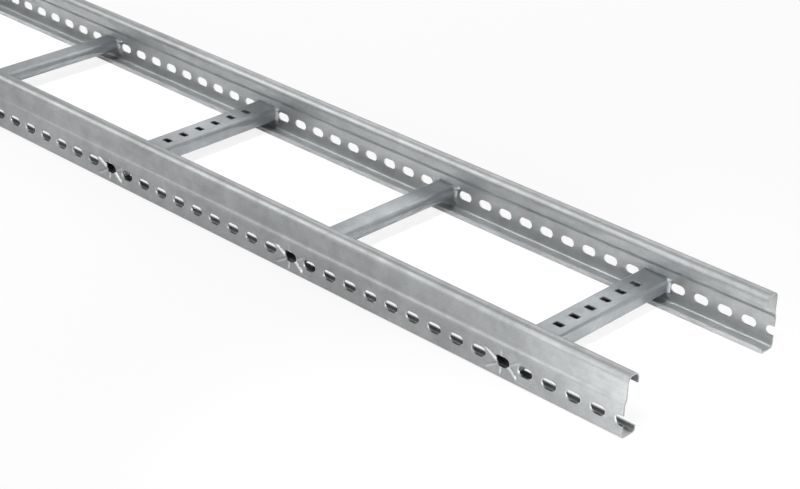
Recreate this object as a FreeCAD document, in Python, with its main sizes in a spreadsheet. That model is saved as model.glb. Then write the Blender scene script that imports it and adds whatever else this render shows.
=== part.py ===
import FreeCAD, Part
import math
import os

import Sketcher

# Cable ladder section: two roll-formed side rails joined by evenly spaced hollow rungs,
# by turns a perforated tube and a plain, rounder one.
# Millimetres, +Z up. X runs along the ladder, Y across it. The origin lies on the floor
# below the middle of the ladder.

DIMENSIONS = {
    # Overall
    "rail_length": 3000,
    "overall_width": 208,
    "rail_height": 56.5,
    # Side rail section
    "sheet_thickness": 1.5,
    "bottom_flange_reach": 17.8,
    "bottom_lip_height": 6,
    "bottom_bend_radius": 3.5,
    "top_flange_reach": 16.5,
    "top_lip_depth": 10.5,
    "top_bend_radius": 6.5,
    "joggle_depth": 2,
    "joggle_start": 29.5,
    "joggle_inside_radius": 4.5,
    # Slot row in the side rails
    "slot_pitch": 25,
    "slot_length": 15,
    "slot_width": 9,
    "slot_row_height": 16.75,
    # Rungs
    "rung_spacing": 250,
    "rung_wall": 1.5,
    "perforated_rung_width": 30,
    "perforated_rung_height": 14,
    "perforated_rung_face_radius": 4,
    "perforated_rung_back_radius": 2.5,
    "plain_rung_width": 25,
    "plain_rung_height": 12,
    "plain_rung_face_radius": 5,
    "plain_rung_back_radius": 5,
    "rung_hole_pitch": 21,
    "rung_hole_length": 9.5,
    "rung_hole_width": 6.5,
    "rung_hole_corner": 1,
    "rung_end_margin": 25,
}

ORIGIN_POINT = (-1, 1)
HORIZONTAL_AXIS, VERTICAL_AXIS = -1, -2
START, END, CENTRE = 1, 2, 3


# A size that knows both its number and the formula that ties it to the sheet

class Size:
    def __init__(self, number, formula):
        self.number = number
        self.formula = formula

    def combine(self, other, sign, swap=False):
        if not isinstance(other, Size):
            other = Size(other, repr(other))
        first, second = (other, self) if swap else (self, other)
        number = {
            "+": lambda: first.number + second.number,
            "-": lambda: first.number - second.number,
            "*": lambda: first.number * second.number,
            "/": lambda: first.number / second.number,
        }[sign]()
        return Size(number, "(%s %s %s)" % (first.formula, sign, second.formula))

    def __add__(self, other):
        return self.combine(other, "+")

    def __sub__(self, other):
        return self.combine(other, "-")

    def __mul__(self, other):
        return self.combine(other, "*")

    def __truediv__(self, other):
        return self.combine(other, "/")

    def __neg__(self):
        return Size(-self.number, "(-1 * %s)" % self.formula)


def whole(size):
    nearly_whole = 0.001
    return Size(math.floor(size.number + nearly_whole), "floor(%s + %s)" % (size.formula, nearly_whole))


# Document and sheet of driving dimensions

doc = FreeCAD.newDocument("cable_ladder_section")
sheet = doc.addObject("Spreadsheet::Sheet", "size")
for row, (alias, number) in enumerate(DIMENSIONS.items(), start=1):
    sheet.set("A%d" % row, alias)
    sheet.set("B%d" % row, str(number))
    sheet.setAlias("B%d" % row, alias)
doc.recompute()


def size(alias):
    return Size(float(DIMENSIONS[alias]), "size." + alias)


length = size("rail_length")
width = size("overall_width")
height = size("rail_height")
sheet_thickness = size("sheet_thickness")
slot_pitch = size("slot_pitch")
rung_spacing = size("rung_spacing")

# What follows from the driving dimensions

slot_spaces = whole(length / slot_pitch)
slot_run = slot_spaces * slot_pitch
first_slot = (length - slot_run) / 2
rung_total = whole(length / rung_spacing)
first_rung = (length - (rung_total - 1) * rung_spacing) / 2
rung_length = width - sheet_thickness * 2
rung_hole_spaces = whole((rung_length - size("rung_end_margin") * 2) / size("rung_hole_pitch"))
rung_hole_run = rung_hole_spaces * size("rung_hole_pitch")


# Sketch helpers

def origin_plane(body, role):
    return next(feature for feature in body.Origin.OriginFeatures if feature.Role == role)


def new_sketch(body, name, role):
    sketch = body.newObject("Sketcher::SketchObject", name)
    sketch.AttachmentSupport = (origin_plane(body, role), [""])
    sketch.MapMode = "FlatFace"
    return sketch


def bind(sketch, constraint, target):
    index = sketch.addConstraint(constraint)
    name = "dimension_%d" % index
    sketch.renameConstraint(index, name)
    sketch.setExpression("Constraints." + name, target.formula)


def place_point(sketch, kind, geometry, point, target):
    """Hold one coordinate of a point at a distance from the sketch's origin."""
    if abs(target.number) < 1e-9:
        axis = VERTICAL_AXIS if kind == "DistanceX" else HORIZONTAL_AXIS
        sketch.addConstraint(Sketcher.Constraint("PointOnObject", geometry, point, axis))
    elif target.number > 0:
        bind(sketch, Sketcher.Constraint(kind, *ORIGIN_POINT, geometry, point, target.number), target)
    else:
        bind(sketch, Sketcher.Constraint(kind, geometry, point, *ORIGIN_POINT, -target.number), -target)


class Side:
    """A straight side of a profile: along "X" or "Y", at a place, ending in a bend or a joggle."""

    def __init__(self, along, place, bend=None, joggle=None):
        self.along = along
        self.place = place
        self.bend = bend
        self.joggle = joggle


def arc_between(sketch, centre, radius, start, end, clockwise):
    """Add an arc and return its geometry number with its first and last point."""
    angles = [math.atan2(point.y - centre.y, point.x - centre.x) for point in (start, end)]
    if clockwise:
        angles.reverse()
    circle = Part.Circle(centre, FreeCAD.Vector(0, 0, 1), radius.number)
    geometry = sketch.addGeometry(Part.ArcOfCircle(circle, *angles))
    bind(sketch, Sketcher.Constraint("Radius", geometry, radius.number), radius)
    return (geometry, END, START) if clockwise else (geometry, START, END)


def add_profile(sketch, sides):
    """Draw a closed profile of straight sides, bends and joggles, and hold it by its sizes."""
    total = len(sides)
    corners = []
    for side, following in zip(sides, sides[1:] + sides[:1]):
        x_side, y_side = (following, side) if side.along == "X" else (side, following)
        corners.append(None if side.joggle else FreeCAD.Vector(x_side.place.number, y_side.place.number, 0))

    # Where each side starts and ends, before its line is drawn
    ends = []
    for index, side in enumerate(sides):
        before = corners[index - 1]
        after = corners[index]
        if before is None:
            before = FreeCAD.Vector(side.place.number, sides[index - 1].joggle["leave"].number, 0)
        if after is None:
            after = FreeCAD.Vector(side.place.number, side.joggle["enter"].number, 0)
        ends.append((before, after))

    pieces = []
    for index, side in enumerate(sides):
        before, after = ends[index]
        direction = (after - before).normalize()
        entry_bend = sides[index - 1].bend
        start = before + direction * entry_bend.number if entry_bend else before
        end = after - direction * side.bend.number if side.bend else after
        line = sketch.addGeometry(Part.LineSegment(start, end))
        kind, distance = ("Horizontal", "DistanceY") if side.along == "X" else ("Vertical", "DistanceX")
        sketch.addConstraint(Sketcher.Constraint(kind, line))
        place_point(sketch, distance, line, START, side.place)
        pieces.append((line, START, END))

        following_before, following_after = ends[(index + 1) % total]
        onward = (following_after - following_before).normalize()
        if side.bend:
            centre = end + onward * side.bend.number
            clockwise = direction.cross(onward).z < 0
            pieces.append(arc_between(sketch, centre, side.bend, end, after + onward * side.bend.number, clockwise))
        if side.joggle:
            pieces.extend(add_joggle(sketch, side, sides[(index + 1) % total], direction))

    for (first, _, first_out), (second, second_in, _) in zip(pieces, pieces[1:] + pieces[:1]):
        smooth = isinstance(sketch.Geometry[first], Part.ArcOfCircle) or isinstance(
            sketch.Geometry[second], Part.ArcOfCircle)
        kind = "Tangent" if smooth else "Coincident"
        sketch.addConstraint(Sketcher.Constraint(kind, first, first_out, second, second_in))


def add_joggle(sketch, side, following, direction):
    """Two arcs that step a vertical side sideways and let it run on in the same direction."""
    shift = math.copysign(1, following.place.number - side.place.number)
    first_radius, second_radius = side.joggle["radii"]
    enter = FreeCAD.Vector(side.place.number, side.joggle["enter"].number, 0)
    leave = FreeCAD.Vector(following.place.number, side.joggle["leave"].number, 0)
    first_centre = enter + FreeCAD.Vector(shift * first_radius.number, 0, 0)
    second_centre = leave - FreeCAD.Vector(shift * second_radius.number, 0, 0)
    share = first_radius.number / (first_radius.number + second_radius.number)
    middle = first_centre + (second_centre - first_centre) * share
    clockwise = shift * direction.y > 0
    first = arc_between(sketch, first_centre, first_radius, enter, middle, clockwise)
    second = arc_between(sketch, second_centre, second_radius, middle, leave, not clockwise)
    lower = first if direction.y > 0 else second
    place_point(sketch, "DistanceY", lower[0], CENTRE, size("joggle_start"))
    return [first, second]


def add_slot(sketch, along, across, centre_x, centre_y):
    """A slot with round ends, its long axis along X."""
    radius = across / 2
    half_run = (along - across) / 2
    right = FreeCAD.Vector((centre_x + half_run).number, centre_y.number, 0)
    left = FreeCAD.Vector((centre_x - half_run).number, centre_y.number, 0)
    up = FreeCAD.Vector(0, radius.number, 0)
    top = sketch.addGeometry(Part.LineSegment(right + up, left + up))
    left_arc = arc_between(sketch, left, radius, left + up, left - up, False)[0]
    bottom = sketch.addGeometry(Part.LineSegment(left - up, right - up))
    right_arc = arc_between(sketch, right, radius, right - up, right + up, False)[0]
    for first, second in ((top, left_arc), (left_arc, bottom), (bottom, right_arc), (right_arc, top)):
        sketch.addConstraint(Sketcher.Constraint("Tangent", first, END, second, START))
    place_point(sketch, "DistanceX", left_arc, CENTRE, centre_x - half_run)
    place_point(sketch, "DistanceY", left_arc, CENTRE, centre_y)
    place_point(sketch, "DistanceX", right_arc, CENTRE, centre_x + half_run)
    sketch.addConstraint(Sketcher.Constraint("Horizontal", top))


# Solid features

def new_body(name):
    body = doc.addObject("PartDesign::Body", name)
    body.Label = name
    return body


def pad(body, name, sketch, depth, symmetric=False):
    feature = body.newObject("PartDesign::Pad", name)
    feature.Profile = sketch
    if symmetric:
        feature.SideType = "Symmetric"
    feature.setExpression("Length", depth.formula)
    doc.recompute()
    return feature


def pocket(body, name, sketch, depth, upward):
    feature = body.newObject("PartDesign::Pocket", name)
    feature.Profile = sketch
    feature.Reversed = upward
    feature.setExpression("Length", depth.formula)
    volume_before = feature.BaseFeature.Shape.Volume
    doc.recompute()
    if feature.Shape.Volume >= volume_before:
        raise RuntimeError("%s of %s cuts nothing" % (name, body.Label))
    return feature


def repeat(body, name, feature, sketch, axis, run, spaces):
    pattern = body.newObject("PartDesign::LinearPattern", name)
    pattern.Originals = [feature]
    pattern.Direction = (sketch, [axis])
    pattern.setExpression("Length", run.formula)
    pattern.setExpression("Occurrences", (spaces + 1).formula)
    body.Tip = pattern
    doc.recompute()
    return pattern


# Side rails

def joggle(enter_at_bottom, first_radius, second_radius):
    """A joggle's two radii, and the heights where the sheet enters and leaves it."""
    both = first_radius.number + second_radius.number
    turn = math.acos(1 - DIMENSIONS["joggle_depth"] / both)
    low = size("joggle_start")
    high = Size(low.number + both * math.sin(turn), "")
    enter, leave = (low, high) if enter_at_bottom else (high, low)
    return {"radii": (first_radius, second_radius), "enter": enter, "leave": leave}


def side_rail_section(sketch):
    """The rail's section: the outer face of the sheet up and over, and the inner face back."""
    t = sheet_thickness
    base = size("bottom_bend_radius")
    crown = size("top_bend_radius")
    tight = size("joggle_inside_radius")
    wide = tight + t
    zero = Size(0, "0")
    recess = size("joggle_depth")
    low_reach = size("bottom_flange_reach")
    top_reach = size("top_flange_reach")
    add_profile(sketch, [
        Side("Y", low_reach, base),
        Side("X", zero, base),
        Side("Y", zero, joggle=joggle(True, wide, tight)),
        Side("Y", recess, crown),
        Side("X", height, crown),
        Side("Y", top_reach),
        Side("X", height - size("top_lip_depth")),
        Side("Y", top_reach - t, crown - t),
        Side("X", height - t, crown - t),
        Side("Y", recess + t, joggle=joggle(False, wide, tight)),
        Side("Y", t, base - t),
        Side("X", t, base - t),
        Side("Y", low_reach - t),
        Side("X", size("bottom_lip_height")),
    ])


def make_side_rail(name, turned):
    body = new_body(name)
    section = new_sketch(body, name + "_section", "YZ_Plane")
    side_rail_section(section)
    pad(body, name + "_sheet", section, length)
    slot = new_sketch(body, name + "_slot", "XZ_Plane")
    add_slot(slot, size("slot_length"), size("slot_width"), first_slot, size("slot_row_height"))
    cut = pocket(body, name + "_slot_cut", slot, sheet_thickness * 2, upward=False)
    repeat(body, name + "_slot_row", cut, slot, "H_Axis", slot_run, slot_spaces)
    if turned:
        body.Placement = FreeCAD.Placement(FreeCAD.Vector(), FreeCAD.Rotation(FreeCAD.Vector(0, 0, 1), 180))
    side = -1 if turned else 1
    body.setExpression("Placement.Base.x", (length * (-side) / 2).formula)
    body.setExpression("Placement.Base.y", (width * (-side) / 2).formula)
    return body


# Rungs

def rung_ring(sketch, kind, inset):
    """One outline of a rung's section, with its upper bends first."""
    half_width = size(kind + "_width") / 2 - inset
    half_height = size(kind + "_height") / 2 - inset
    face_bend = size(kind + "_face_radius") - inset
    back_bend = size(kind + "_back_radius") - inset
    add_profile(sketch, [
        Side("Y", half_width, face_bend),
        Side("X", half_height, face_bend),
        Side("Y", -half_width, back_bend),
        Side("X", -half_height, back_bend),
    ])


def perforate(body, height):
    """A row of small rounded holes through the upper face of a rung."""
    hole = new_sketch(body, body.Label + "_hole", "XY_Plane")
    half_along = size("rung_hole_length") / 2
    half_across = size("rung_hole_width") / 2
    first_hole = -rung_hole_run / 2
    corner = size("rung_hole_corner")
    add_profile(hole, [
        Side("Y", half_along, corner),
        Side("X", first_hole + half_across, corner),
        Side("Y", -half_along, corner),
        Side("X", first_hole - half_across, corner),
    ])
    cut = pocket(body, body.Label + "_hole_cut", hole, height, upward=True)
    repeat(body, body.Label + "_hole_row", cut, hole, "V_Axis", rung_hole_run, rung_hole_spaces)


def make_rung(number):
    name = "rung_%02d" % number
    perforated = number % 2 == 1
    kind = "perforated_rung" if perforated else "plain_rung"
    body = new_body(name)
    section = new_sketch(body, name + "_section", "XZ_Plane")
    rung_ring(section, kind, Size(0, "0"))
    rung_ring(section, kind, size("rung_wall"))
    pad(body, name + "_tube", section, rung_length, symmetric=True)
    if perforated:
        perforate(body, size(kind + "_height"))
    place = length / 2 - first_rung - rung_spacing * (number - 1)
    body.setExpression("Placement.Base.x", place.formula)
    body.setExpression("Placement.Base.z", size("slot_row_height").formula)
    return body


bodies = [make_side_rail("side_rail_right", turned=False), make_side_rail("side_rail_left", turned=True)]
for rung_number in range(1, rung_total.number + 1):
    bodies.append(make_rung(rung_number))
doc.recompute()

# Every object has to be sound before anything is written

for item in doc.Objects:
    if "Invalid" in item.State or "Error" in item.State:
        raise RuntimeError("%s did not rebuild: %s" % (item.Label, item.State))
for body in bodies:
    if body.Shape.isNull() or not body.Shape.isValid() or len(body.Shape.Solids) != 1:
        raise RuntimeError("%s is not one sound solid" % body.Label)

os.makedirs("parts", exist_ok=True)
for body in bodies:
    body.Shape.exportStep("parts/%s.step" % body.Label)
    box = body.Shape.BoundBox
    print("%-16s volume %9.1f  x %8.1f to %8.1f  y %7.1f to %7.1f  z %5.1f to %5.1f" % (
        body.Label, body.Shape.Volume, box.XMin, box.XMax, box.YMin, box.YMax, box.ZMin, box.ZMax))
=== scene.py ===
import math

import bmesh
import bpy
from mathutils import Matrix, Vector
from mathutils.geometry import delaunay_2d_cdt


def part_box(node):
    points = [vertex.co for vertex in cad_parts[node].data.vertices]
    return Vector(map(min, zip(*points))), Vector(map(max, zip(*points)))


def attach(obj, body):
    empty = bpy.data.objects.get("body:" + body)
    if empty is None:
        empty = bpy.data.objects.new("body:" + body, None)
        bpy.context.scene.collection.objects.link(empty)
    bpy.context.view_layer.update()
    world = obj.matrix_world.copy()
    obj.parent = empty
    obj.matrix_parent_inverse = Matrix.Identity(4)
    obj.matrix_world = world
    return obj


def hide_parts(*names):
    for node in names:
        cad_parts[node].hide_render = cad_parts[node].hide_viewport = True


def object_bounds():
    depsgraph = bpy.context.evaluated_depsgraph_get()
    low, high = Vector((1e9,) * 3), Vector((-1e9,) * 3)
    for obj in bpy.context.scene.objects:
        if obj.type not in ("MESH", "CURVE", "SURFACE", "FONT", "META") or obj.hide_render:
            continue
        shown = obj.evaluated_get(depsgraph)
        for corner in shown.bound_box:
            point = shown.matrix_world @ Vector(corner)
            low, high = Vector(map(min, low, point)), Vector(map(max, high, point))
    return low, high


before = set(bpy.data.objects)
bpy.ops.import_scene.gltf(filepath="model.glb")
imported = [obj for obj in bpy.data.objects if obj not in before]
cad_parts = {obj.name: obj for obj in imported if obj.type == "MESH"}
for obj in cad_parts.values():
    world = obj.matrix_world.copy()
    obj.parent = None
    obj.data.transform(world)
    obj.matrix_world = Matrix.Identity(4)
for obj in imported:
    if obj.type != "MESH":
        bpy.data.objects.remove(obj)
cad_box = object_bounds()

# Cable ladder section: its pressed steel sheet, its rungs and its zinc finish.
# The ladder's lengths are in millimetres and are turned into metres where meshes are made. The floor, the
# lamps and the camera are placed in metres.

MM = 0.001

# Side rail section, measured from the rail's outer face (depth) and its underside (height)
SHEET = 1.5
BOTTOM_REACH = 17.8
BOTTOM_LIP_TOP = 6.0
BOTTOM_RADIUS = 3.5
JOGGLE_START = 29.5
JOGGLE_DEPTH = 2.0
JOGGLE_RADIUS = 4.5
TOP_REACH = 16.5
TOP_LIP_DEPTH = 10.5
TOP_RADIUS = 6.5

# Slot row
SLOT_PITCH = 25.0
SLOT_LENGTH = 15.0
SLOT_WIDTH = 9.0
SLOT_HEIGHT = 16.75
PUNCH_EDGE = 0.5
PUNCH_EDGE_FALL = 0.3
# Painted light on the slots' walls: a painted highlight on their round ends and painted shade on their
# straight sides
WALL_PAINTED_HIGHLIGHT = 1.0
WALL_PAINTED_SHADE = -0.7

# Rungs
RUNG_WALL = 1.5
PERFORATED = {"width": 30.0, "face_radius": 4.0, "back_radius": 2.5}
PLAIN = {"width": 25.0, "face_radius": 5.0, "back_radius": 5.0}
HOLE_PITCH = 21.0
HOLE_ALONG_LADDER = 9.5
HOLE_ACROSS_LADDER = 6.5
HOLE_CORNER = 1.0
HOLE_MARGIN = 25.0
PLAIN_MARGIN = 20.0
FLARE_LENGTH = 3.2
FLARE_REACH = 2.2
FLARE_UPWARD_SHARE = 0.35
FLARE_STATIONS = (1.0, 0.75, 0.5, 0.25, 0.0)
# Painted highlight on a rung's tube near each end, where the press spread it
END_PAINTED_LIGHT = 0.9

# Press joints: creases pressed into the web round each rung's end. Points are along the rail from the
# rung's middle and up from the rail's underside.
CREASE_DEPTH = 1.5
CREASE_HALF_WIDTH = 2.0
DISH_DEPTH = 0.5
DISH_HALF_WIDTH = 5.5
CREASE_FADE = 3.5
# Painted light along each crease: a painted highlight band beside its lower side and a painted shade band
# beside its upper side, as light from above falls on its flanks. Offset from the crease, band width, run past
# its end, and the strength of each
CREASE_PAINT_OFFSET = 0.7
CREASE_PAINT_WIDTH = 1.3
CREASE_PAINT_OVERRUN = 1
CREASE_PAINTED_HIGHLIGHT = 1.0
CREASE_PAINTED_SHADE = -0.4
# Where the way across a crease rises by less than this share, the crease is upright and its right side is
# taken as its upper side
UPRIGHT_LIMIT = 0.3
CREASES = [
    {"start": (-7.0, 17.2), "end": (-18.8, 23.6), "strength": 1.0},
    {"start": (7.2, 14.4), "end": (17.2, 6.4), "strength": 1.0},
    {"start": (7.4, 16.4), "end": (18.6, 23.4), "strength": 0.3},
    {"start": (-5.8, 13.0), "end": (-17.8, 5.6), "strength": 0.45},
    {"start": (-0.6, 12.6), "end": (-0.6, 4.2), "strength": 0.8},
    {"start": (0.0, 21.4), "end": (0.0, 28.0), "strength": 0.35},
]
# Where the press moved the edge of the slot behind the rung, from the slot's middle
EDGE_PULLS = [
    {"at": (-6.6, -3.0), "by": (1.3, 1.7), "reach": 2.3},
    {"at": (0.8, -4.25), "by": (0.0, 1.1), "reach": 1.1},
    {"at": (6.8, 2.6), "by": (0.6, 0.5), "reach": 2.0},
    {"at": (-6.4, 2.4), "by": (-0.6, 0.4), "reach": 1.8},
]

# Mesh fineness: steps in each bend or round, the merging distance and the angle that stays sharp
FOOT_STEPS = 6
JOGGLE_STEPS = 5
CROWN_STEPS = 9
TUBE_STEPS = 7
SLOT_STEPS = 7
HOLE_STEPS = 3
MERGE_DISTANCE = 0.002
SHARP_ANGLE = 32
# Points about a crease: spacing along it, offsets beside it, and room kept to the plate's border, the holes
# and each other
CREASE_SPACING = 0.95
CREASE_OFFSETS = (-3.8, -2.6, -CREASE_HALF_WIDTH, -0.8, 0, 0.8, CREASE_HALF_WIDTH, 2.6, 3.8)
BORDER_ROOM = 0.4
HOLE_ROOM = 0.45
POINT_ROOM = 0.4

LADDER_LENGTH = (cad_box[1][0] - cad_box[0][0]) / MM
LADDER_WIDTH = (cad_box[1][1] - cad_box[0][1]) / MM
RAIL_HEIGHT = (cad_box[1][2] - cad_box[0][2]) / MM
RUNGS = sorted(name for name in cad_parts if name.startswith("rung_"))


def rung_place(name):
    """A rung's middle along the ladder, its width and its height, in millimetres."""
    low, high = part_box(name)
    middle = (low.x + high.x) / 2 / MM
    return middle, (high.x - low.x) / MM, (high.z - low.z) / MM


# Mesh helpers

class Builder:
    """Collects the faces of one piece of bent sheet; faces that meet share their corners."""

    def __init__(self, name):
        self.name = name
        self.mesh = bmesh.new()
        # Per-corner painted highlight (above 0) and painted shade (below 0) for the colour
        self.painted_light = self.mesh.loops.layers.float.new("painted_light")

    def face(self, points, painted_light=None):
        """Adds a face; the last argument gives each corner's painted highlight (above 0) or painted shade
        (below 0), and 0 is plain zinc.
        """
        corners = [self.mesh.verts.new(Vector(point) * MM) for point in points]
        made = self.mesh.faces.new(corners)
        if painted_light:
            for loop, value in zip(made.loops, painted_light):
                loop[self.painted_light] = value

    def finish(self, body, replaced, material):
        bmesh.ops.remove_doubles(self.mesh, verts=self.mesh.verts, dist=MERGE_DISTANCE * MM)
        bmesh.ops.recalc_face_normals(self.mesh, faces=self.mesh.faces)
        data = bpy.data.meshes.new(self.name)
        self.mesh.to_mesh(data)
        self.mesh.free()
        data.polygons.foreach_set("use_smooth", [True] * len(data.polygons))
        data.set_sharp_from_angle(angle=math.radians(SHARP_ANGLE))
        data.materials.append(material)
        piece = bpy.data.objects.new(self.name, data)
        bpy.context.scene.collection.objects.link(piece)
        weighted = piece.modifiers.new("even_shading", "WEIGHTED_NORMAL")
        weighted.keep_sharp = True
        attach(piece, body)
        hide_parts(replaced)


def bend(centre, outer, inner, start, end, steps):
    """Stations round a bend: pairs of points on the outer and the inner face of the sheet."""
    stations = []
    for step in range(steps + 1):
        angle = math.radians(start + (end - start) * step / steps)
        ray = Vector((math.cos(angle), math.sin(angle)))
        stations.append((Vector(centre) + ray * outer, Vector(centre) + ray * inner))
    return stations


def rounded_outline(half_u, half_v, radius, steps):
    """A rectangle with round corners about the origin, from its middle left point up and round."""
    points = [Vector((-half_u, 0))]
    for corner_u, corner_v, start in ((-1, 1, 180), (1, 1, 90), (1, -1, 0), (-1, -1, -90)):
        centre = Vector((corner_u * (half_u - radius), corner_v * (half_v - radius)))
        for step in range(steps + 1):
            angle = math.radians(start - 90 * step / steps)
            points.append(centre + Vector((math.cos(angle), math.sin(angle))) * radius)
        if corner_u > 0 and corner_v > 0:
            points.append(Vector((half_u, 0)))
    merged = []
    for point in points:
        if not merged or (point - merged[-1]).length > 1e-4:
            merged.append(point)
    if (merged[0] - merged[-1]).length < 1e-4:
        merged.pop()
    return merged


def slot_outline(grow):
    half_v = SLOT_WIDTH / 2 + grow
    return rounded_outline(SLOT_LENGTH / 2 + grow, half_v, half_v, SLOT_STEPS)


def hole_outline(grow):
    half_u = HOLE_ACROSS_LADDER / 2 + grow
    half_v = HOLE_ALONG_LADDER / 2 + grow
    return rounded_outline(half_u, half_v, HOLE_CORNER + grow, HOLE_STEPS)


def plate_cell(builder, place, centre, half_pitch, low, high, outline, wall_paint_share):
    """One pitch of a plate with a hole: its two faces, the hole's punched edge and its wall."""
    mid_u, mid_v = centre
    wide = [Vector(centre) + point for point in outline(PUNCH_EDGE)]
    tight = [Vector(centre) + point for point in outline(0)]
    right = max(range(len(wide)), key=lambda index: wide[index].x - abs(wide[index].y - mid_v))
    left_u, right_u = mid_u - half_pitch, mid_u + half_pitch
    for ring, depth in ((wide, 0), (tight, SHEET)):
        above = [(right_u, mid_v), (right_u, high), (left_u, high), (left_u, mid_v)]
        below = [(left_u, mid_v), (left_u, low), (right_u, low), (right_u, mid_v)]
        upper = ring[:right + 1] + [Vector(point) for point in above]
        lower = ring[right:] + [ring[0]] + [Vector(point) for point in below]
        for loop in (upper, lower):
            builder.face([place(point.x, point.y, depth) for point in loop])
    ring_walls(builder, place, wide, tight, wall_paint_share)


def wall_painted_light(first, second, wall_paint_share):
    """Painted light on a slot's wall: a painted highlight on its round ends and painted shade on its straight
    sides, scaled by the last argument.
    """
    along = second - first
    facing = abs(along.y) / max(along.length, 1e-9)
    return wall_paint_share * (WALL_PAINTED_HIGHLIGHT * facing + WALL_PAINTED_SHADE * (1 - facing))


def edge_levels(wide, tight):
    """Outlines down a punched edge with their depths: rounded where the punch went in, then straight."""
    fall = PUNCH_EDGE_FALL
    between = [(a * fall + b * (1 - fall)) for a, b in zip(wide, tight)]
    return [(wide, 0), (between, PUNCH_EDGE * fall), (tight, PUNCH_EDGE), (tight, SHEET)]


def ring_walls(builder, place, wide, tight, wall_paint_share):
    """The rounded edge where the punch went in, and the straight wall behind it, which carries painted
    highlight and shade.
    """
    count = len(wide)
    levels = edge_levels(wide, tight)
    for (outer, outer_depth), (inner, inner_depth) in zip(levels, levels[1:]):
        for index in range(count):
            after = (index + 1) % count
            builder.face([
                place(outer[index].x, outer[index].y, outer_depth),
                place(outer[after].x, outer[after].y, outer_depth),
                place(inner[after].x, inner[after].y, inner_depth),
                place(inner[index].x, inner[index].y, inner_depth),
            ], [wall_painted_light(outer[index], outer[after], wall_paint_share)] * 4)


# Side rails

def rail_section():
    """Stations from the bottom lip to the web's foot, and from the web's top to the top lip."""
    base = BOTTOM_RADIUS
    crown = TOP_RADIUS
    wide = JOGGLE_RADIUS + SHEET
    both = JOGGLE_RADIUS + wide
    turn = math.degrees(math.acos(1 - JOGGLE_DEPTH / both))
    leave = JOGGLE_START + both * math.sin(math.radians(turn))
    foot = [(Vector((BOTTOM_REACH, BOTTOM_LIP_TOP)), Vector((BOTTOM_REACH - SHEET, BOTTOM_LIP_TOP)))]
    foot += bend((BOTTOM_REACH - base, base), base, base - SHEET, 0, -90, FOOT_STEPS)
    foot += bend((base, base), base, base - SHEET, -90, -180, FOOT_STEPS)
    head = bend((wide, JOGGLE_START), wide, JOGGLE_RADIUS, 180, 180 - turn, JOGGLE_STEPS)
    head += bend((JOGGLE_DEPTH - JOGGLE_RADIUS, leave), JOGGLE_RADIUS, wide, -turn, 0, JOGGLE_STEPS)[1:]
    crown_v = RAIL_HEIGHT - crown
    head += bend((JOGGLE_DEPTH + crown, crown_v), crown, crown - SHEET, 180, 90, CROWN_STEPS)
    head += bend((TOP_REACH - crown, crown_v), crown, crown - SHEET, 90, 0, CROWN_STEPS)
    lip_end = RAIL_HEIGHT - TOP_LIP_DEPTH
    head.append((Vector((TOP_REACH, lip_end)), Vector((TOP_REACH - SHEET, lip_end))))
    return foot, head


def crease_lines():
    """Every crease of a joint as start, end and strength."""
    return [(Vector(crease["start"]), Vector(crease["end"]), crease["strength"]) for crease in CREASES]


def crease_depth(point, lines):
    """How far the web is pressed in at a point of a joint."""
    depth = 0.0
    for start, end, strength in lines:
        along = end - start
        length = along.length
        along.normalize()
        travel = (point - start).dot(along)
        inside = max(0.0, min(length, travel))
        distance = (point - (start + along * inside)).length
        fade = max(0.0, min(1.0, (length - travel) / CREASE_FADE))
        sharp = CREASE_DEPTH * max(0.0, 1 - distance / CREASE_HALF_WIDTH)
        dish = DISH_DEPTH * max(0.0, 1 - distance / DISH_HALF_WIDTH) ** 2
        depth = max(depth, strength * fade * (sharp + dish))
    return depth


def crease_painted_light(point, lines):
    """Painted light along the creases: a painted highlight along a crease's lower side and painted shade
    along its upper side.
    """
    bright = 0.0
    dull = 0.0
    for start, end, strength in lines:
        along = end - start
        length = along.length
        along.normalize()
        upward = Vector((-along.y, along.x))
        if upward.y < 0 or (abs(upward.y) < UPRIGHT_LIMIT and upward.x < 0):
            upward = -upward
        travel = (point - start).dot(along)
        if not -CREASE_PAINT_OVERRUN < travel < length + CREASE_PAINT_OVERRUN:
            continue
        aside = (point - start).dot(upward)
        fade = max(0.0, min(1.0, (length + CREASE_PAINT_OVERRUN - travel) / CREASE_FADE))
        bright = max(bright, strength * fade * (1 - abs(aside + CREASE_PAINT_OFFSET) / CREASE_PAINT_WIDTH))
        dull = max(dull, strength * fade * (1 - abs(aside - CREASE_PAINT_OFFSET) / CREASE_PAINT_WIDTH))
    return CREASE_PAINTED_HIGHLIGHT * bright + CREASE_PAINTED_SHADE * dull


def joint_outline(grow):
    """The slot behind a rung's end, pulled out of shape by the press."""
    points = []
    for point in slot_outline(grow):
        moved = point.copy()
        for pull in EDGE_PULLS:
            nearness = math.exp(-((point - Vector(pull["at"])).length / pull["reach"]) ** 2)
            moved += Vector(pull["by"]) * nearness
        points.append(moved)
    return points


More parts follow.
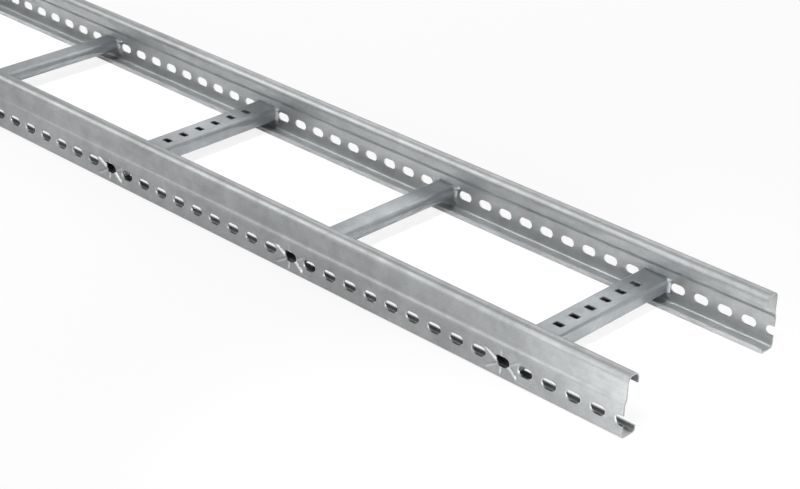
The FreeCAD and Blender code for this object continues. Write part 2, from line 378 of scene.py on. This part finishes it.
class Joint:
    """Three pitches of the web about a rung's end, with the creases that the press leaves.

    Everything is held about the joint's own middle as along, height and depth below the web's face.
    """

    def __init__(self, low, high):
        self.lines = crease_lines()
        half = SLOT_PITCH / 2
        edge = ((-3, SLOT_HEIGHT), (-3, low), (-1, low), (1, low), (3, low),
                (3, SLOT_HEIGHT), (3, high), (1, high), (-1, high), (-3, high))
        border = [Vector((u * half, v)) for u, v in edge]
        self.rings = []
        for step, shape in ((-1, slot_outline), (0, joint_outline), (1, slot_outline)):
            offset = Vector((step * SLOT_PITCH, SLOT_HEIGHT))
            ring = [[offset + point for point in reversed(shape(grow))] for grow in (PUNCH_EDGE, 0)]
            self.rings.append(ring)

        points = list(border)
        loops = [list(range(len(border)))]
        tight_of = {}
        for wide, tight in self.rings:
            first = len(points)
            points += wide
            loops.append(list(range(first, len(points))))
            tight_of.update({first + index: point for index, point in enumerate(tight)})
        points += crease_points(self.lines, [wide for wide, _ in self.rings], low, high)
        found, _, faces, sources, _, face_sources = delaunay_2d_cdt(points, [], loops, 1, 1e-5)

        self.faces = []
        for face, owners in zip(faces, face_sources):
            if any(owner > 0 for owner in owners):
                continue
            inner = [tight_of.get(sources[index][0], found[index]) for index in face]
            # Painted highlight and shade along the creases, on the web's outer face only
            painted = [crease_painted_light(found[index], self.lines) for index in face]
            self.faces.append(([self.pressed(found[index], 0) for index in face], painted))
            self.faces.append(([self.pressed(point, SHEET) for point in inner], None))

    def pressed(self, point, depth):
        return (point.x, point.y, depth + crease_depth(Vector((point.x, point.y)), self.lines))

    def build(self, builder, place, centre, turned):
        """Puts the joint on a web; turned is -1 on the rail that lies end for end."""
        for face, painted in self.faces:
            builder.face([place(centre + turned * u, v, depth) for u, v, depth in face], painted)

        def on_web(u, v, depth):
            return place(centre + turned * u, v, depth + crease_depth(Vector((u, v)), self.lines))

        for wide, tight in self.rings:
            ring_walls(builder, on_web, wide, tight, 1)


def crease_points(lines, holes, low, high):
    """Rows of points along each crease and beside it, clear of the holes and of the plate's border."""
    points = []
    for start, end, _ in lines:
        along = end - start
        count = max(2, round(along.length / CREASE_SPACING))
        side = Vector((-along.y, along.x)).normalized()
        for step in range(count + 1):
            on_line = start + along * (step / count)
            for offset in CREASE_OFFSETS:
                points.append(on_line + side * offset)
    kept = []
    for point in points:
        if not (low + BORDER_ROOM < point.y < high - BORDER_ROOM):
            continue
        if min((point - other).length for hole in holes for other in hole) < HOLE_ROOM:
            continue
        if any(inside_outline(point, hole) for hole in holes):
            continue
        if all((point - other).length > POINT_ROOM for other in kept):
            kept.append(point)
    return kept


def inside_outline(point, outline):
    """Whether a point lies inside an outline, by counting the edges to its right."""
    inside = False
    for first, second in zip(outline, outline[1:] + outline[:1]):
        if (first.y > point.y) != (second.y > point.y):
            crossing = first.x + (point.y - first.y) / (second.y - first.y) * (second.x - first.x)
            if point.x < crossing:
                inside = not inside
    return inside


def end_cell(builder, place, end_u, toward, low, high):
    """The half pitch at a cut end, where the cut went through the middle of a slot; its wall carries the same
    painted highlight and shade as a slot's.
    """
    centre = Vector((end_u, SLOT_HEIGHT))
    wide = [point for point in slot_outline(PUNCH_EDGE) if point.x <= 1e-6]
    tight = [point for point in slot_outline(0) if point.x <= 1e-6]
    cell_u = end_u + toward * SLOT_PITCH / 2

    def turned(points, grow):
        half_v = SLOT_WIDTH / 2 + grow
        upper = [Vector((0, half_v))] + [p for p in reversed(points) if p.y > 1e-6]
        lower = [p for p in reversed(points) if p.y < -1e-6] + [Vector((0, -half_v))]
        tip = [p for p in points if abs(p.y) <= 1e-6]
        return [centre + Vector((-toward * p.x, p.y)) for p in upper + tip + lower], len(upper)

    wide, tip = turned(wide, PUNCH_EDGE)
    tight, _ = turned(tight, 0)
    for ring, depth in ((wide, 0), (tight, SHEET)):
        above = [(cell_u, SLOT_HEIGHT), (cell_u, high), (end_u, high)]
        below = [(end_u, low), (cell_u, low), (cell_u, SLOT_HEIGHT)]
        upper = ring[:tip + 1] + [Vector(point) for point in above]
        lower = ring[tip:] + [Vector(point) for point in below]
        for loop in (upper, lower):
            builder.face([place(point.x, point.y, depth) for point in loop])
    levels = edge_levels(wide, tight)
    for (outer, outer_depth), (inner, inner_depth) in zip(levels, levels[1:]):
        for index in range(len(wide) - 1):
            builder.face([
                place(outer[index].x, outer[index].y, outer_depth),
                place(outer[index + 1].x, outer[index + 1].y, outer_depth),
                place(inner[index + 1].x, inner[index + 1].y, inner_depth),
                place(inner[index].x, inner[index].y, inner_depth),
            ], [wall_painted_light(outer[index], outer[index + 1], 1)] * 4)
    for edge, border in ((0, high), (-1, low)):
        tops = [place(end_u, level[edge].y, depth) for level, depth in levels]
        builder.face(tops + [place(end_u, border, SHEET), place(end_u, border, 0)])


def make_rail(name, replaced, side, material):
    """One side rail: side is -1 for the rail at the ladder's right, 1 for the one at its left."""
    builder = Builder(name)
    foot, head = rail_section()
    half_length = LADDER_LENGTH / 2

    def place(u, v, depth):
        return (u, side * (LADDER_WIDTH / 2 - depth), v)

    low, high = foot[-1][0].y, head[0][0].y
    slots = round(LADDER_LENGTH / SLOT_PITCH)
    centres = [half_length - SLOT_PITCH * index for index in range(1, slots)]
    joints = {round((half_length - rung_place(rung)[0]) / SLOT_PITCH) - 1 for rung in RUNGS}
    covered = {index + step for index in joints for step in (-1, 0, 1)}
    joint = Joint(low, high)
    for index, centre in enumerate(centres):
        if index in joints:
            joint.build(builder, place, centre, -side)
        elif index not in covered:
            plate_cell(builder, place, (centre, SLOT_HEIGHT), SLOT_PITCH / 2, low, high, slot_outline, 1)
    end_cell(builder, place, half_length, -1, low, high)
    end_cell(builder, place, -half_length, 1, low, high)

    between = [half_length - SLOT_PITCH * (index + 0.5) for index in range(slots)]
    columns = [half_length] + between + [-half_length]
    for stations in (foot, head):
        for (outer_a, inner_a), (outer_b, inner_b) in zip(stations, stations[1:]):
            for first, second in zip(columns, columns[1:]):
                for a, b in ((outer_a, outer_b), (inner_a, inner_b)):
                    builder.face([place(first, a.y, a.x), place(second, a.y, a.x),
                                  place(second, b.y, b.x), place(first, b.y, b.x)])
            for end in (columns[0], columns[-1]):
                builder.face([place(end, point.y, point.x) for point in (outer_a, outer_b, inner_b, inner_a)])
    for outer, inner in (foot[0], head[-1]):
        for first, second in zip(columns, columns[1:]):
            builder.face([place(first, outer.y, outer.x), place(second, outer.y, outer.x),
                          place(second, inner.y, inner.x), place(first, inner.y, inner.x)])
    builder.finish("root", replaced, material)


# Rungs

def rung_section(width, height, shape):
    """Stations round a rung's tube, from the face's left edge over and round, without the face itself."""
    face, back = shape["face_radius"], shape["back_radius"]
    half_w, half_h = width / 2, height / 2
    stations = bend((half_w - face, half_h - face), face, face - RUNG_WALL, 90, 0, TUBE_STEPS)
    stations += bend((half_w - back, back - half_h), back, back - RUNG_WALL, 0, -90, TUBE_STEPS)
    stations += bend((back - half_w, back - half_h), back, back - RUNG_WALL, -90, -180, TUBE_STEPS)
    stations += bend((face - half_w, half_h - face), face, face - RUNG_WALL, 180, 90, TUBE_STEPS)
    return stations


def flare(across, half_length):
    """How far the tube's side stands out where the press spread its end."""
    share = max(0.0, 1 - (half_length - abs(across)) / FLARE_LENGTH)
    return FLARE_REACH * share ** 2


def make_rung(name, replaced, material):
    """One rung: a closed tube with its ends spread by the press, and a row of holes if it is a wide one."""
    builder = Builder(name)
    middle, width, height = rung_place(replaced)
    perforated = abs(width - PERFORATED["width"]) < abs(width - PLAIN["width"])
    shape = PERFORATED if perforated else PLAIN
    low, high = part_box(replaced)
    half_length = (high.y - low.y) / 2 / MM
    centre_z = (low.z + high.z) / 2 / MM
    stations = rung_section(width, height, shape)
    face_half = width / 2 - shape["face_radius"]

    # Painted highlight on the tube near each end, where the press spread it
    def end_painted_light(across):
        return END_PAINTED_LIGHT * max(0.0, 1 - (half_length - abs(across)) / FLARE_LENGTH)

    def place(across, sideways, upward):
        spread = flare(across, half_length)
        if abs(sideways) > 1e-6:
            sideways += math.copysign(spread * min(1.0, abs(sideways) / (width / 2)), sideways)
        upward += math.copysign(spread * FLARE_UPWARD_SHARE, upward)
        return (middle + sideways, across, centre_z + upward)

    spaces = int((half_length * 2 - HOLE_MARGIN * 2) / HOLE_PITCH)
    edge = (spaces + 1) * HOLE_PITCH / 2 if perforated else half_length - PLAIN_MARGIN
    ends = [edge] + [half_length - FLARE_LENGTH * share for share in FLARE_STATIONS]
    holes = [HOLE_PITCH * (index - spaces / 2) for index in range(spaces + 1)] if perforated else []
    inner_columns = [centre + HOLE_PITCH / 2 for centre in holes][:-1] if perforated else [0.0]
    columns = [-station for station in reversed(ends)] + inner_columns + ends

    for (outer_a, inner_a), (outer_b, inner_b) in zip(stations, stations[1:]):
        for first, second in zip(columns, columns[1:]):
            painted = [end_painted_light(first), end_painted_light(second), end_painted_light(second), end_painted_light(first)]
            for a, b in ((outer_a, outer_b), (inner_a, inner_b)):
                builder.face([place(first, a.x, a.y), place(second, a.x, a.y),
                              place(second, b.x, b.y), place(first, b.x, b.y)], painted)
        for end in (columns[0], columns[-1]):
            builder.face([place(end, point.x, point.y) for point in (outer_a, outer_b, inner_b, inner_a)])

    def on_face(along, across, depth):
        return place(along, across, height / 2 - depth)

    for first, second in zip(columns, columns[1:]):
        if holes and first > -edge - 1e-6 and second < edge + 1e-6:
            continue
        for depth in (0, RUNG_WALL):
            builder.face([on_face(first, -face_half, depth), on_face(second, -face_half, depth),
                          on_face(second, face_half, depth), on_face(first, face_half, depth)])
    for end in (columns[0], columns[-1]):
        builder.face([on_face(end, -face_half, 0), on_face(end, face_half, 0),
                      on_face(end, face_half, RUNG_WALL), on_face(end, -face_half, RUNG_WALL)])
    for centre in holes:
        plate_cell(builder, on_face, (centre, 0), HOLE_PITCH / 2, -face_half, face_half,
                   hole_outline, 0)
    builder.finish("root", replaced, material)


# Zinc finish, lightened and darkened by the painted highlight and shade that the meshes carry

RAIL_COLOUR = (0.362, 0.372, 0.376)
RUNG_COLOUR = (0.318, 0.336, 0.348)
METAL_SHARE = 0.85
ROUGHNESS = 0.4
TONE_SWING = 0.24
CLOUDS_PER_METRE = 11
PATCHES_PER_METRE = 55
GRAIN_PER_METRE = 600
CRYSTALS_PER_METRE = 140
RELIEF = 0.06
# How strongly the meshes' painted highlight and shade lighten or darken the base colour
PAINTED_LIGHT_GAIN = 1.2
# How much each pattern weighs in the colour, the gloss and the relief
TONE_WEIGHTS = {"clouds": 0.9, "patches": 0.9, "grain": 0.4, "broad": 0.5, "fine": 0.35, "crystals": 0.18}
GLOSS_WEIGHTS = {"patches": -0.2, "fine": 0.12, "grain": 0.1, "crystals": 0.05}
RELIEF_WEIGHTS = {"grain": 0.2, "fine": 0.15, "patches": 0.4, "crystals": 0.06}
# Streaks, in pattern sizes a metre along X, Y and Z: a rail is rolled along X and a rung along Y
RAIL_STREAKS = {"broad": (2.5, 80, 80), "fine": (9, 500, 500)}
RUNG_STREAKS = {"broad": (80, 2.5, 80), "fine": (500, 9, 500)}


def node(tree, kind, **settings):
    made = tree.nodes.new(kind)
    for name, value in settings.items():
        setattr(made, name, value)
    return made


def noise(tree, place, scale, detail):
    made = node(tree, "ShaderNodeTexNoise")
    made.inputs["Scale"].default_value = scale
    made.inputs["Detail"].default_value = detail
    tree.links.new(place, made.inputs["Vector"])
    return made.outputs[0]


def stretched(tree, place, scale):
    """Coordinates squeezed by another amount along each axis, in pattern sizes a metre."""
    mapping = node(tree, "ShaderNodeMapping")
    mapping.inputs["Scale"].default_value = scale
    tree.links.new(place, mapping.inputs["Vector"])
    return mapping.outputs[0]


def weighted(tree, parts, middle):
    """The sum of patterns by weight, where each pattern swings about a half and the sum about middle."""
    total = None
    for pattern, weight in parts:
        step = node(tree, "ShaderNodeMath", operation="MULTIPLY_ADD")
        step.inputs[1].default_value = weight
        tree.links.new(pattern, step.inputs[0])
        if total is None:
            step.inputs[2].default_value = middle - sum(share for _, share in parts) / 2
        else:
            tree.links.new(total, step.inputs[2])
        total = step.outputs[0]
    return total


def zinc_material(name, colour, streaks):
    """Rolled galvanised sheet: cloudy zinc with faint crystals and streaks along the rolling direction,
    lightened and darkened by the painted highlight and shade that the meshes carry.
    """
    material = bpy.data.materials.new(name)
    material.use_nodes = True
    tree = material.node_tree
    tree.nodes.clear()
    place = node(tree, "ShaderNodeTexCoord").outputs["Object"]
    patterns = {
        "clouds": noise(tree, place, CLOUDS_PER_METRE, 4),
        "patches": noise(tree, place, PATCHES_PER_METRE, 3),
        "grain": noise(tree, place, GRAIN_PER_METRE, 1),
        "broad": noise(tree, stretched(tree, place, streaks["broad"]), 1, 3),
        "fine": noise(tree, stretched(tree, place, streaks["fine"]), 1, 2),
    }
    crystals = node(tree, "ShaderNodeTexVoronoi")
    crystals.inputs["Scale"].default_value = CRYSTALS_PER_METRE
    tree.links.new(place, crystals.inputs["Vector"])
    crystal_tone = node(tree, "ShaderNodeSeparateColor")
    tree.links.new(crystals.outputs["Color"], crystal_tone.inputs[0])

    def mixed(weights, channel, middle):
        """Patterns by weight, with one colour channel of the crystals as theirs."""
        found = {**patterns, "crystals": crystal_tone.outputs[channel]}
        return weighted(tree, [(found[pattern], weight) for pattern, weight in weights.items()], middle)

    tone = mixed(TONE_WEIGHTS, 0, 0.5)
    tint = node(tree, "ShaderNodeMix", data_type="RGBA", clamp_factor=True)
    tint.inputs["A"].default_value = (*[share * (1 - TONE_SWING) for share in colour], 1)
    tint.inputs["B"].default_value = (*[share * (1 + TONE_SWING) for share in colour], 1)
    tree.links.new(tone, tint.inputs["Factor"])
    # The meshes' painted highlight and shade lighten or darken the base colour
    painted_light = node(tree, "ShaderNodeAttribute", attribute_name="painted_light")
    gain = node(tree, "ShaderNodeMath", operation="MULTIPLY_ADD")
    gain.inputs[1].default_value = PAINTED_LIGHT_GAIN
    gain.inputs[2].default_value = 1.0
    tree.links.new(painted_light.outputs["Fac"], gain.inputs[0])
    coat_with_painted_light = node(tree, "ShaderNodeVectorMath", operation="SCALE")
    tree.links.new(tint.outputs["Result"], coat_with_painted_light.inputs[0])
    tree.links.new(gain.outputs[0], coat_with_painted_light.inputs["Scale"])
    gloss = mixed(GLOSS_WEIGHTS, 1, ROUGHNESS)
    height = mixed(RELIEF_WEIGHTS, 2, 0.5)
    relief = node(tree, "ShaderNodeBump")
    relief.inputs["Strength"].default_value = 1.0
    relief.inputs["Distance"].default_value = RELIEF * MM
    tree.links.new(height, relief.inputs["Height"])

    shader = node(tree, "ShaderNodeBsdfPrincipled")
    shader.inputs["Metallic"].default_value = METAL_SHARE
    tree.links.new(coat_with_painted_light.outputs[0], shader.inputs["Base Color"])
    tree.links.new(gloss, shader.inputs["Roughness"])
    tree.links.new(relief.outputs[0], shader.inputs["Normal"])
    output = node(tree, "ShaderNodeOutputMaterial")
    tree.links.new(shader.outputs[0], output.inputs["Surface"])
    return material


# Stage, light and camera

FLOOR_SIZE = 30
FLOOR_DROP = 0.0002
FLOOR_COLOUR = 0.8
FLOOR_WHITE_TO_CAMERA = 0.85
FLOOR_WHITE_IN_METAL = 0.15
WORLD_LEVEL = 0.8


def make_floor():
    """A pale floor, mostly white to the camera and a little to the metal, that keeps a faint shadow."""
    bpy.ops.mesh.primitive_plane_add(size=FLOOR_SIZE, location=(0, 0, -FLOOR_DROP))
    floor = bpy.context.object
    floor.name = "floor"
    material = bpy.data.materials.new("pale_floor")
    material.use_nodes = True
    tree = material.node_tree
    tree.nodes.clear()
    output = node(tree, "ShaderNodeOutputMaterial")
    diffuse = node(tree, "ShaderNodeBsdfDiffuse")
    diffuse.inputs["Color"].default_value = (FLOOR_COLOUR, FLOOR_COLOUR, FLOOR_COLOUR, 1)
    white = node(tree, "ShaderNodeEmission")
    white.inputs["Strength"].default_value = 1.0
    path = node(tree, "ShaderNodeLightPath")
    from_camera = node(tree, "ShaderNodeMath", operation="MULTIPLY")
    from_camera.inputs[1].default_value = FLOOR_WHITE_TO_CAMERA
    mirrored = node(tree, "ShaderNodeMath", operation="MAXIMUM")
    in_metal = node(tree, "ShaderNodeMath", operation="MULTIPLY")
    in_metal.inputs[1].default_value = FLOOR_WHITE_IN_METAL
    share = node(tree, "ShaderNodeMath", operation="MAXIMUM")
    mix = node(tree, "ShaderNodeMixShader")
    tree.links.new(path.outputs["Is Camera Ray"], from_camera.inputs[0])
    tree.links.new(path.outputs["Is Glossy Ray"], mirrored.inputs[0])
    tree.links.new(path.outputs["Is Transmission Ray"], mirrored.inputs[1])
    tree.links.new(mirrored.outputs[0], in_metal.inputs[0])
    tree.links.new(from_camera.outputs[0], share.inputs[0])
    tree.links.new(in_metal.outputs[0], share.inputs[1])
    tree.links.new(share.outputs[0], mix.inputs["Fac"])
    tree.links.new(diffuse.outputs[0], mix.inputs[1])
    tree.links.new(white.outputs[0], mix.inputs[2])
    tree.links.new(mix.outputs[0], output.inputs["Surface"])
    floor.data.materials.append(material)


def make_world():
    """Even light from all sides."""
    world = bpy.data.worlds.new("studio")
    bpy.context.scene.world = world
    world.use_nodes = True
    tree = world.node_tree
    tree.nodes.clear()
    output = node(tree, "ShaderNodeOutputWorld")
    background = node(tree, "ShaderNodeBackground")
    background.inputs["Strength"].default_value = WORLD_LEVEL
    tree.links.new(background.outputs[0], output.inputs["Surface"])


# Soft boxes: place, the point each looks at, width, height, beam in degrees and watts
SOFT_BOXES = {
    "box_over_near_rail": {"place": (-0.09, -0.87, 1.15), "aim": (1.1, -0.1, 0.05), "size": (1.2, 1.2),
                           "beam": 180, "watts": 9},
    "box_behind": {"place": (0.4, 1.0, 0.9), "aim": (0.9, 0, 0.03), "size": (1.4, 0.8),
                   "beam": 180, "watts": 3.4},
    "box_at_right": {"place": (2.6, 0.6, 0.3), "aim": (1.0, 0, 0.03), "size": (0.8, 0.4),
                     "beam": 180, "watts": 3.7},
    "box_in_front": {"place": (2.3, -0.4, 0.9), "aim": (1.1, 0, 0.03), "size": (0.8, 0.6),
                     "beam": 180, "watts": 2.3},
    "box_low_in_front": {"place": (1.0, -1.2, 0.45), "aim": (1.2, -0.1, 0.03), "size": (0.8, 0.5),
                         "beam": 180, "watts": 2.5},
    "strip_between_rails": {"place": (0.6, -0.355, 0.8), "aim": (0.6, 0.045, 0), "size": (2.8, 0.1),
                            "beam": 6, "watts": 1.55},
}
# Spots: place, the point each looks at, cone in degrees and watts
SPOTS = {
    "spot_before_end": {"place": (1.52, -0.36, 0.5), "aim": (1.52, -0.28, 0), "cone": 40, "watts": 36},
    "spot_before_end_wide": {"place": (1.62, -0.5, 0.8), "aim": (1.48, -0.27, 0),
                             "cone": 40, "watts": 18},
    "spot_before_middle": {"place": (0.75, -0.5, 0.8), "aim": (0.75, -0.3, 0), "cone": 45, "watts": 3.4},
    "spot_on_far_end": {"place": (2.1, -0.55, 0.45), "aim": (1.5, 0.09, 0), "cone": 18, "watts": 30},
}
SPOT_RADIUS = 0.05
SPOT_BLEND = 1.0


def hang_lamp(name, data, place, aim, watts):
    data.energy = watts
    lamp = bpy.data.objects.new(name, data)
    lamp.location = place
    lamp.rotation_euler = (Vector(aim) - Vector(place)).to_track_quat("-Z", "Y").to_euler()
    lamp.visible_camera = False
    bpy.context.scene.collection.objects.link(lamp)


def make_lamps():
    """Boxes light the rails and rungs; spots light the floor that the near web mirrors, and the far end."""
    for name, box in SOFT_BOXES.items():
        data = bpy.data.lights.new(name, "AREA")
        data.shape = "RECTANGLE"
        data.size, data.size_y = box["size"]
        data.spread = math.radians(box["beam"])
        hang_lamp(name, data, box["place"], box["aim"], box["watts"])
    for name, spot in SPOTS.items():
        data = bpy.data.lights.new(name, "SPOT")
        data.spot_size = math.radians(spot["cone"])
        data.spot_blend = SPOT_BLEND
        data.shadow_soft_size = SPOT_RADIUS
        hang_lamp(name, data, spot["place"], spot["aim"], spot["watts"])


# The camera, fitted to the photo: metres, degrees and millimetres of lens
CAMERA_PLACE = (2.2786, -1.2169, 0.8614)
CAMERA_HEADING = 42.534
CAMERA_DROP = 27.368
CAMERA_ROLL = 2.215
CAMERA_LENS = 91.497
SENSOR_WIDTH = 36
SIGHT = 60


def make_camera():
    data = bpy.data.cameras.new("camera")
    data.lens = CAMERA_LENS
    data.sensor_width = SENSOR_WIDTH
    data.clip_end = SIGHT
    camera = bpy.data.objects.new("camera", data)
    bpy.context.scene.collection.objects.link(camera)
    turn = Matrix.Rotation(math.radians(CAMERA_HEADING), 4, "Z")
    tilt = Matrix.Rotation(math.radians(90 - CAMERA_DROP), 4, "X")
    roll = Matrix.Rotation(math.radians(CAMERA_ROLL), 4, "Z")
    camera.matrix_world = Matrix.Translation(CAMERA_PLACE) @ turn @ tilt @ roll
    bpy.context.scene.camera = camera


rail_zinc = zinc_material("rail_zinc_coat", RAIL_COLOUR, RAIL_STREAKS)
rung_zinc = zinc_material("rung_zinc_coat", RUNG_COLOUR, RUNG_STREAKS)
make_rail("right_rail_sheet", "side_rail_right", -1, rail_zinc)
make_rail("left_rail_sheet", "side_rail_left", 1, rail_zinc)
for rung in RUNGS:
    make_rung(rung + "_tube", rung, rung_zinc)
make_floor()
make_world()
make_lamps()
make_camera()
bpy.context.scene.view_settings.view_transform = "Standard"
